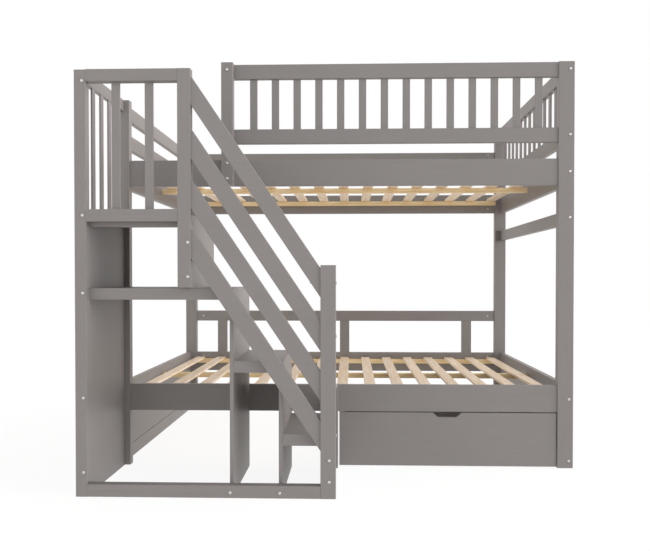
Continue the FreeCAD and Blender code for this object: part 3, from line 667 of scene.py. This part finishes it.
@dataclass
class DrawerRunningGear:
    """The drawer's four moulded wheels, with their forks and axles.

    A rib starts inside the hub and ends inside the rim, at the bite's share of their
    sizes, and it narrows towards the rim to the taper's share.
    """

    places: tuple[str, ...] = ("front_left", "front_right", "back_left", "back_right")
    sides: int = 48
    rim_mm: float = 3.4
    recess_mm: float = 3.5
    hub_radius_mm: float = 6.4
    bore_radius_mm: float = 3.05
    bore_sides: int = 24
    edge_mm: float = 0.9
    edge_steps: int = 2
    ribs: int = 6
    rib_mm: float = 1.6
    rib_setback_mm: float = 1.35
    rib_bite: float = 0.97
    rib_taper: float = 0.7

    def wheel(self, low: Vector, high: Vector) -> bpy.types.Object:
        """Model one wheel with a dished, ribbed side on each face.

        Args:
            low: the lowest corner of the wheel's node.
            high: its highest corner.

        Returns:
            The wheel, in place.
        """
        radius, width = (high.z - low.z) / 2, high.x - low.x
        bpy.ops.object.select_all(action="DESELECT")
        bpy.ops.mesh.primitive_cylinder_add(vertices=self.sides, radius=radius, depth=width)
        piece = bpy.context.object
        bpy.ops.object.mode_set(mode="EDIT")
        bpy.ops.mesh.select_mode(type="FACE")
        pick_faces(piece, lambda normal: abs(normal.z) > FACING)
        bpy.ops.mesh.inset(thickness=self.rim_mm * MM)
        bpy.ops.mesh.extrude_region_shrink_fatten(
            TRANSFORM_OT_shrink_fatten={"value": -self.recess_mm * MM})
        bpy.ops.mesh.inset(thickness=radius - (self.rim_mm + self.hub_radius_mm) * MM)
        bpy.ops.mesh.extrude_region_shrink_fatten(
            TRANSFORM_OT_shrink_fatten={"value": self.recess_mm * MM})
        bpy.ops.object.mode_set(mode="OBJECT")
        soft = piece.modifiers.new("rounded_rim", "BEVEL")
        soft.width, soft.segments, soft.limit_method = self.edge_mm * MM, self.edge_steps, "ANGLE"
        bpy.ops.object.modifier_apply(modifier=soft.name)
        bpy.ops.mesh.primitive_cylinder_add(vertices=self.bore_sides, radius=self.bore_radius_mm * MM,
                                            depth=2 * width)
        carve(piece, bpy.context.object)
        select_only(piece, *self.spokes(radius, width))
        bpy.ops.object.join()
        piece.matrix_world = (Matrix.Translation((low + high) / 2)
                              @ Matrix.Rotation(math.radians(90), 4, "Y"))
        bpy.ops.object.transform_apply(location=True, rotation=True, scale=True)
        return piece

    def spokes(self, radius: float, width: float) -> list[bpy.types.Object]:
        """Model the ribs that stiffen the web between hub and rim.

        Args:
            radius: the wheel's radius in metres.
            width: the wheel's width in metres.

        Returns:
            One tapered rib for each place, on both faces at once.
        """
        start = self.hub_radius_mm * MM * self.rib_bite
        end = radius - self.rim_mm * MM * self.rib_bite
        made = []
        for index in range(self.ribs):
            bpy.ops.mesh.primitive_cube_add(
                size=1, location=((start + end) / 2, 0, 0),
                scale=(end - start, self.rib_mm * MM, width - 2 * self.rib_setback_mm * MM))
            rib = bpy.context.object
            bpy.ops.object.transform_apply(location=True, rotation=True, scale=True)
            for vertex in rib.data.vertices:
                if vertex.co.x > (start + end) / 2:
                    vertex.co.y *= self.rib_taper
            rib.matrix_world = Matrix.Rotation(math.tau * index / self.ribs, 4, "Z")
            made.append(rib)
        return made

    def build(self, shop: Workshop) -> None:
        """Fit the wheels and dress the forks and axles.

        Args:
            shop: the workshop with the finishes.
        """
        shop.dress("wheel_housings", shop.fork)
        shop.dress("wheel_axles", shop.zinc)
        for name in self.places:
            node = f"drawer_wheel_{name}"
            low, high = (Vector(corner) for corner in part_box(node))
            shop.fit(self.wheel(low, high), f"ribbed_wheel_{name}", node, f"wheel_{name}",
                     "wheel_plastic", shop.tyre)


@dataclass
class FrameBolts:
    """Zinc-plated dome-head bolts with a hexagon socket, measured across its flats."""

    sides: int = 20
    head_radius_mm: float = 6.5
    height_mm: float = 3.0
    dome_mm: float = 2.3
    dome_steps: int = 3
    shank_radius_mm: float = 3.0
    socket_mm: float = 4.0
    socket_depth_mm: float = 1.6

    def master(self) -> bpy.types.Object:
        """Model one bolt, head up, with its seat at the origin.

        Returns:
            The bolt.
        """
        height = self.height_mm * MM
        bpy.ops.object.select_all(action="DESELECT")
        bpy.ops.mesh.primitive_cylinder_add(vertices=self.sides, radius=self.head_radius_mm * MM,
                                            depth=height, location=(0, 0, height / 2))
        piece = bpy.context.object
        bpy.ops.object.transform_apply(location=True)
        bpy.ops.object.mode_set(mode="EDIT")
        bpy.ops.mesh.select_mode(type="FACE")
        pick_faces(piece, lambda normal: normal.z > FACING)
        bpy.ops.mesh.bevel(offset=self.dome_mm * MM, segments=self.dome_steps, affect="EDGES")
        pick_faces(piece, lambda normal: normal.z < -FACING)
        bpy.ops.mesh.inset(thickness=(self.head_radius_mm - self.shank_radius_mm) * MM)
        bpy.ops.mesh.extrude_region_move(TRANSFORM_OT_translate={"value": (0, 0, -STUB_MM * MM)})
        bpy.ops.object.mode_set(mode="OBJECT")
        bpy.ops.mesh.primitive_cylinder_add(
            vertices=6, radius=self.socket_mm * MM / math.sqrt(3),
            depth=2 * self.socket_depth_mm * MM, location=(0, 0, height))
        carve(piece, bpy.context.object)
        return piece

    def build(self, shop: Workshop) -> None:
        """Set a bolt at every seat of the frame's bolts.

        Args:
            shop: the workshop with the finishes.
        """
        seats = [seat_of(part) for part in loose_parts("frame_bolts")]
        whole = set_copies(self.master(), seats)
        shop.fit(whole, "socket_head_bolts", "frame_bolts", "bed", "zinc_steel", shop.zinc)


@dataclass
class CrossNuts:
    """Turned cross nuts with a screwdriver slot, let into the rails' inner faces."""

    sides: int = 20
    radius_mm: float = 5.0
    length_mm: float = 18.0
    edge_mm: float = 0.5
    slot_mm: float = 1.3
    slot_depth_mm: float = 1.2
    hole_radius_mm: float = 3.3
    hole_sides: int = 16

    def master(self) -> bpy.types.Object:
        """Model one nut with a slot in each end and the bolt's hole across it.

        Returns:
            The nut, upright, with its middle at the origin.
        """
        bpy.ops.object.select_all(action="DESELECT")
        bpy.ops.mesh.primitive_cylinder_add(vertices=self.sides, radius=self.radius_mm * MM,
                                            depth=self.length_mm * MM)
        piece = bpy.context.object
        bpy.ops.object.mode_set(mode="EDIT")
        bpy.ops.mesh.select_mode(type="FACE")
        pick_faces(piece, lambda normal: abs(normal.z) > FACING)
        bpy.ops.mesh.bevel(offset=self.edge_mm * MM, segments=1, affect="EDGES")
        bpy.ops.object.mode_set(mode="OBJECT")
        cutters = []
        for end in (-1, 1):
            bpy.ops.mesh.primitive_cube_add(
                size=1, location=(0, 0, end * self.length_mm * MM / 2),
                scale=(3 * self.radius_mm * MM, self.slot_mm * MM, 2 * self.slot_depth_mm * MM))
            bpy.ops.object.transform_apply(location=True, rotation=True, scale=True)
            cutters.append(bpy.context.object)
        bpy.ops.mesh.primitive_cylinder_add(vertices=self.hole_sides, radius=self.hole_radius_mm * MM,
                                            depth=4 * self.radius_mm * MM,
                                            rotation=(0, math.radians(90), 0))
        carve(piece, *cutters, bpy.context.object)
        return piece

    def build(self, shop: Workshop) -> None:
        """Set a nut in the middle of every nut of the frame.

        Args:
            shop: the workshop with the finishes.
        """
        seats = []
        for part in loose_parts("barrel_nuts"):
            seat = seat_of(part)
            half = seat.reach / 2
            seats.append(Seat(seat.point - seat.facing * half, seat.facing, half))
        whole = set_copies(self.master(), seats)
        shop.fit(whole, "slotted_cross_nuts", "barrel_nuts", "bed", "zinc_steel", shop.zinc)


@dataclass
class SlatScrews:
    """Countersunk screws with a cross recess, through the slats into the cleats."""

    sides: int = 16
    head_radius_mm: float = 3.9
    root_radius_mm: float = 2.0
    sink_mm: float = 2.2
    crown_mm: float = 0.3
    crown_inset_mm: float = 1.56
    recess_mm: float = 4.2
    recess_width_mm: float = 0.9
    recess_depth_mm: float = 1.2

    def master(self) -> bpy.types.Object:
        """Model one screw, head up, with the top of its countersink at the origin.

        The mesh has a known fault. The crown's edges are still selected when the shank is
        extruded, so an open sleeve hangs from the crown to the shank's end, and the cut
        leaves the recess without walls or floor. Deselecting all in pick_faces cures it.

        Returns:
            The screw.
        """
        sink = self.sink_mm * MM
        bpy.ops.object.select_all(action="DESELECT")
        bpy.ops.mesh.primitive_cone_add(vertices=self.sides, radius1=self.root_radius_mm * MM,
                                        radius2=self.head_radius_mm * MM, depth=sink,
                                        location=(0, 0, -sink / 2))
        piece = bpy.context.object
        bpy.ops.object.transform_apply(location=True)
        bpy.ops.object.mode_set(mode="EDIT")
        bpy.ops.mesh.select_mode(type="FACE")
        pick_faces(piece, lambda normal: normal.z > FACING)
        bpy.ops.mesh.inset(thickness=self.crown_inset_mm * MM, depth=self.crown_mm * MM)
        pick_faces(piece, lambda normal: normal.z < -FACING)
        bpy.ops.mesh.extrude_region_move(TRANSFORM_OT_translate={"value": (0, 0, -STUB_MM * MM)})
        bpy.ops.object.mode_set(mode="OBJECT")
        cutters = []
        for turn in (0, 90):
            bpy.ops.mesh.primitive_cube_add(
                size=1, location=(0, 0, 0), rotation=(0, 0, math.radians(turn)),
                scale=(self.recess_mm * MM, self.recess_width_mm * MM, 2 * self.recess_depth_mm * MM))
            bpy.ops.object.transform_apply(location=True, rotation=True, scale=True)
            cutters.append(bpy.context.object)
        carve(piece, *cutters)
        return piece

    def build(self, shop: Workshop) -> None:
        """Set a screw at the top of every screw of the frame.

        Args:
            shop: the workshop with the finishes.
        """
        seats = []
        for part in loose_parts("slat_screws"):
            low, high = corners(part)
            top = Vector(((low.x + high.x) / 2, (low.y + high.y) / 2, high.z))
            seats.append(Seat(top, Vector((0, 0, 1)), high.z - low.z))
        whole = set_copies(self.master(), seats)
        shop.fit(whole, "cross_recess_screws", "slat_screws", "bed", "zinc_steel", shop.zinc)


# ---- studio ----

@dataclass(frozen=True)
class Lamp:
    """One broad, distant softbox. Azimuth 0 is in front of the stairs and 90 is to the right."""

    name: str
    azimuth_deg: float
    elevation_deg: float
    strength: float
    colour: tuple[float, float, float]
    spread_deg: float = 80.0
    height_mm: float = 3000.0

    def hang(self) -> None:
        """Put the softbox in the scene."""
        bpy.ops.object.light_add(type="SUN", location=(0, 0, self.height_mm * MM))
        softbox = bpy.context.object
        softbox.name = self.name
        softbox.data.energy = self.strength
        softbox.data.angle = math.radians(self.spread_deg)
        softbox.data.color = self.colour
        softbox.rotation_euler = (math.radians(90 - self.elevation_deg), 0,
                                  math.radians(self.azimuth_deg))


@dataclass
class Studio:
    """Floor, lights and the camera at the photograph's viewing angle.

    The floor and the room are white where they are seen. On the object they shed only
    the room's and the floor's glow, in the room's colour. The floor's shadow is the
    share of its white that direct light gives, and that the object can take away.
    """

    camera_mm: tuple[float, float, float] = (39.0, -3731.8, 833.6)
    yaw_deg: float = 1.858
    pitch_deg: float = -0.883
    lens_mm: float = 40.8
    sensor_mm: float = 36.0
    shift: tuple[float, float] = (-0.0029, 0.0209)
    sight_mm: float = 100000.0
    floor_mm: float = 30000.0
    floor_drop_mm: float = 0.5
    floor_colour: str = "#8C8C8C"
    floor_roughness: float = 0.9
    floor_specular: float = 0.1
    floor_glow: float = 0.66
    floor_white: float = 0.9
    floor_shadow: float = 0.14
    room: float = 0.45
    room_colour: tuple[float, float, float, float] = (1.0, 0.94, 0.91, 1.0)
    lamps: tuple[Lamp, ...] = (
        Lamp("right_softbox", 87.0, 11.0, 3.6, (1.0, 0.952, 0.957)),
        Lamp("front_softbox", 10.0, 20.0, 0.42, (0.75, 0.93, 1.0)),
        Lamp("left_softbox", -80.0, 14.0, 0.9, (1.0, 0.98, 0.97)))

    def place_camera(self) -> None:
        """Put the camera where the photograph was taken."""
        bpy.ops.object.camera_add(location=Vector(self.camera_mm) * MM,
                                  rotation=(math.radians(90 + self.pitch_deg), 0,
                                            math.radians(self.yaw_deg)))
        camera = bpy.context.object
        camera.name = "camera"
        camera.data.lens = self.lens_mm
        camera.data.sensor_width = self.sensor_mm
        camera.data.shift_x, camera.data.shift_y = self.shift
        camera.data.clip_end = self.sight_mm * MM
        bpy.context.scene.camera = camera

    def lay_floor(self) -> None:
        """Lay a pale floor that looks white and keeps a soft shadow of the object."""
        bpy.ops.object.select_all(action="DESELECT")
        bpy.ops.mesh.primitive_plane_add(size=self.floor_mm * MM,
                                         location=(0, 0, -self.floor_drop_mm * MM))
        floor = bpy.context.object
        floor.name = "floor"
        material, tree, shader = new_material("pale_studio_floor")
        shader.inputs["Base Color"].default_value = linear(self.floor_colour)
        shader.inputs["Roughness"].default_value = self.floor_roughness
        shader.inputs["Specular IOR Level"].default_value = self.floor_specular
        shader.inputs["Emission Color"].default_value = self.room_colour
        shader.inputs["Emission Strength"].default_value = self.floor_glow
        shine = add_node(tree, "Emission", Color=WHITE, Strength=self.floor_white)
        paper = add_node(tree, "BsdfDiffuse", Color=(*(self.floor_shadow,) * 3, 1.0))
        white = add_node(tree, "AddShader", {0: shine.outputs[0], 1: paper.outputs[0]})
        total = add_node(tree, "MixShader", {0: seen_directly(tree), 1: shader.outputs[0],
                                             2: white.outputs[0]})
        output = next(node for node in tree.nodes if node.bl_idname == "ShaderNodeOutputMaterial")
        tree.links.new(total.outputs[0], output.inputs["Surface"])
        floor.data.materials.append(material)

    def light(self) -> None:
        """Light the object softly in a pale room, most from the right."""
        world = bpy.data.worlds.new("pale_room")
        bpy.context.scene.world = world
        world.use_nodes = True
        tree = world.node_tree
        tree.nodes.clear()
        seen = seen_directly(tree)
        strength = add_node(tree, "MapRange", {"Value": seen}, To_Min=self.room, To_Max=1.0)
        tint = add_node(tree, "Mix", {"Factor": seen}, data_type="RGBA")
        tint.inputs[MIX_A].default_value = self.room_colour
        tint.inputs[MIX_B].default_value = WHITE
        shine = add_node(tree, "Background", {"Color": tint.outputs[MIX_RESULT],
                                              "Strength": strength.outputs[0]})
        add_node(tree, "OutputWorld", {"Surface": shine.outputs[0]})
        for lamp in self.lamps:
            lamp.hang()

    def build(self) -> None:
        """Set up the studio."""
        self.place_camera()
        self.lay_floor()
        self.light()
        bpy.context.scene.view_settings.view_transform = "Standard"


def main() -> None:
    """Build the studio and the sub-assemblies in order."""
    logging.basicConfig(level=logging.INFO, format="%(name)s: %(message)s")
    Studio().build()
    shop = Workshop()
    for part in (PaintedTimber(), SlattedBases(), DrawerRunningGear(), FrameBolts(),
                 CrossNuts(), SlatScrews()):
        part.build(shop)


if __name__ == "__main__":
    main()
